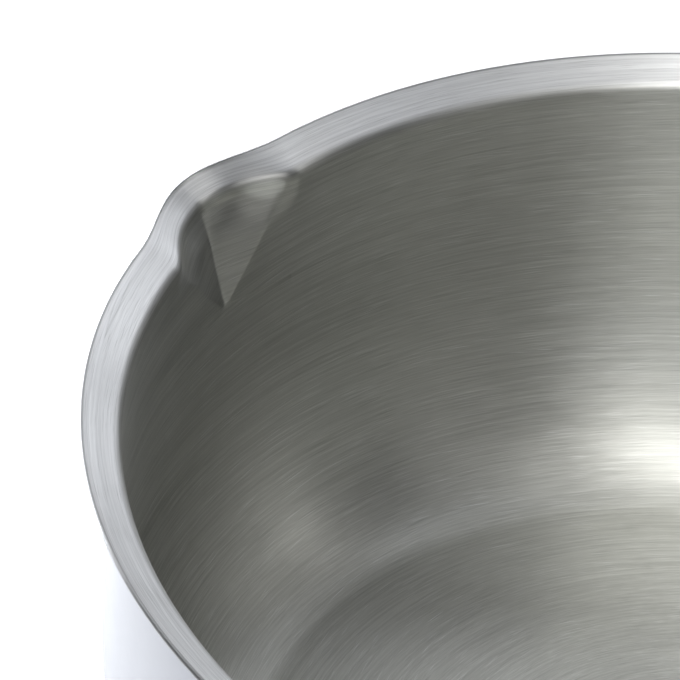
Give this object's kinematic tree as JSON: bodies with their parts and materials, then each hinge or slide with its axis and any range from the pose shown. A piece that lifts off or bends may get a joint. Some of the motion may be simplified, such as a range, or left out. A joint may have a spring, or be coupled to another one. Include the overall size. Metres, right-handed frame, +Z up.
{
  "type": "cocotte",
  "caption": "Open round cooking pot, brushed steel inside and white outside, with a flared rim, a pressed pouring beak, a bonded base and a turned wooden grip on lugs at each side.",
  "frame": {"origin": "centre of the underside of the base, on the pot's axis", "axes": "+Z up along the pot's axis, +X through the right handle, -Y through the pouring beak"},
  "size_m": [0.2676, 0.1948, 0.072],
  "materials": {
    "brushed_steel": "brushed round the pot, bare",
    "white_enamel": "smooth, glossy, cool white",
    "aluminium_core": "matt, hidden inside the base",
    "wood": "turned, oiled, satin",
    "fastener_steel": "polished stainless"
  },
  "bodies": {
    "root": {"pot_shell": "brushed_steel", "enamel_coat": "white_enamel", "heat_spreader": "aluminium_core", "base_cap": "brushed_steel", "right_grip": "wood", "right_tie_rod": "fastener_steel", "right_front_lug": "white_enamel", "right_rear_lug": "white_enamel", "right_front_washer": "fastener_steel", "right_rear_washer": "fastener_steel", "right_front_cap_nut": "fastener_steel", "right_rear_cap_nut": "fastener_steel", "left_grip": "wood", "left_tie_rod": "fastener_steel", "left_front_lug": "white_enamel", "left_rear_lug": "white_enamel", "left_front_washer": "fastener_steel", "left_rear_washer": "fastener_steel", "left_front_cap_nut": "fastener_steel", "left_rear_cap_nut": "fastener_steel"}
  },
  "joints": []
}
